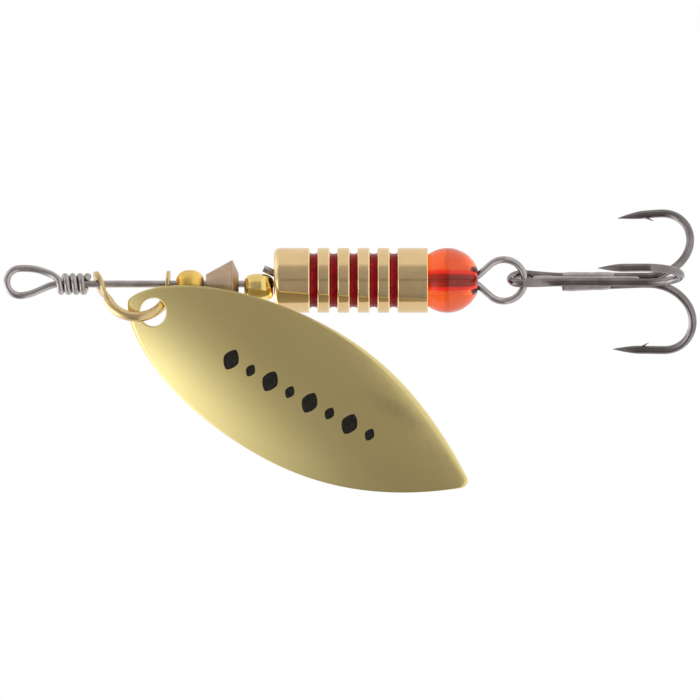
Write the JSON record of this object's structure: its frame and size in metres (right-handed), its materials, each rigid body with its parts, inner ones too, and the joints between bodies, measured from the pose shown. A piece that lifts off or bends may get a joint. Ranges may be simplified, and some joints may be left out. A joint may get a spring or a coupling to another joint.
{
  "type": "inline spinner fishing lure",
  "caption": "Inline spinner lure: a domed leaf blade on a wire clevis, beads and a cone bearing, a grooved turned body, a tail bead and a treble hook on one wire shaft.",
  "frame": {"origin": "in the line eye, on the axis of the shaft", "axes": "+Z along the shaft towards the line; -Y faces the side that the blade covers; -X is the side the blade's tip lies on"},
  "size_m": [0.0226, 0.0108, 0.0553],
  "materials": {
    "shaft_steel": "satin",
    "clevis_brass": "satin",
    "blade_brass": "polished",
    "bead_brass": "polished",
    "cone_brass": "satin",
    "body_brass": "polished",
    "red_enamel": "glossy enamel",
    "red_bead": "translucent glossy",
    "hook_steel": "black nickel",
    "braze": "black nickel",
    "black_ink": "printed ink"
  },
  "bodies": {
    "shaft": {"shaft_wire": "shaft_steel"},
    "clevis": {"clevis": "clevis_brass"},
    "blade": {"blade": "blade_brass"},
    "front_bead": {"front_bead": "bead_brass"},
    "cone_bearing": {"cone_bearing": "cone_brass"},
    "rear_bead": {"rear_bead": "bead_brass"},
    "body": {"body": "body_brass", "enamel_ring_1": "red_enamel", "enamel_ring_2": "red_enamel", "enamel_ring_3": "red_enamel", "enamel_ring_4": "red_enamel", "enamel_ring_5": "red_enamel"},
    "tail_bead": {"tail_bead": "red_bead"},
    "treble": {"double_hook": "hook_steel", "single_hook": "hook_steel", "braze_joint": "braze"}
  },
  "joints": [
    {"name": "clevis_spin", "type": "hinge", "parent": "shaft", "child": "clevis", "pos_m": [0, 0, -0.00925], "axis": [0, 0, 1], "continuous": true},
    {"name": "blade_swing", "type": "hinge", "parent": "clevis", "child": "blade", "pos_m": [-0.00226, -0.00158, -0.01057], "axis": [-0.8788, 0, 0.4772], "range_deg": [0, 45]},
    {"name": "front_bead_spin", "type": "hinge", "parent": "shaft", "child": "front_bead", "pos_m": [0, 0, -0.01349], "axis": [0, 0, 1], "continuous": true},
    {"name": "cone_spin", "type": "hinge", "parent": "shaft", "child": "cone_bearing", "pos_m": [0, 0, -0.01477], "axis": [0, 0, 1], "continuous": true},
    {"name": "rear_bead_spin", "type": "hinge", "parent": "shaft", "child": "rear_bead", "pos_m": [-0.0003, 0, -0.01899], "axis": [0, 0, 1], "continuous": true},
    {"name": "body_spin", "type": "hinge", "parent": "shaft", "child": "body", "pos_m": [0.00029, 0, -0.02021], "axis": [0, 0, 1], "continuous": true},
    {"name": "tail_bead_spin", "type": "hinge", "parent": "shaft", "child": "tail_bead", "pos_m": [0.00029, 0, -0.03409], "axis": [0, 0, 1], "continuous": true},
    {"name": "treble_swing", "type": "hinge", "parent": "shaft", "child": "treble", "pos_m": [0.00043, 0, -0.04026], "axis": [1, 0, 0], "range_deg": [-80, 92]}
  ]
}
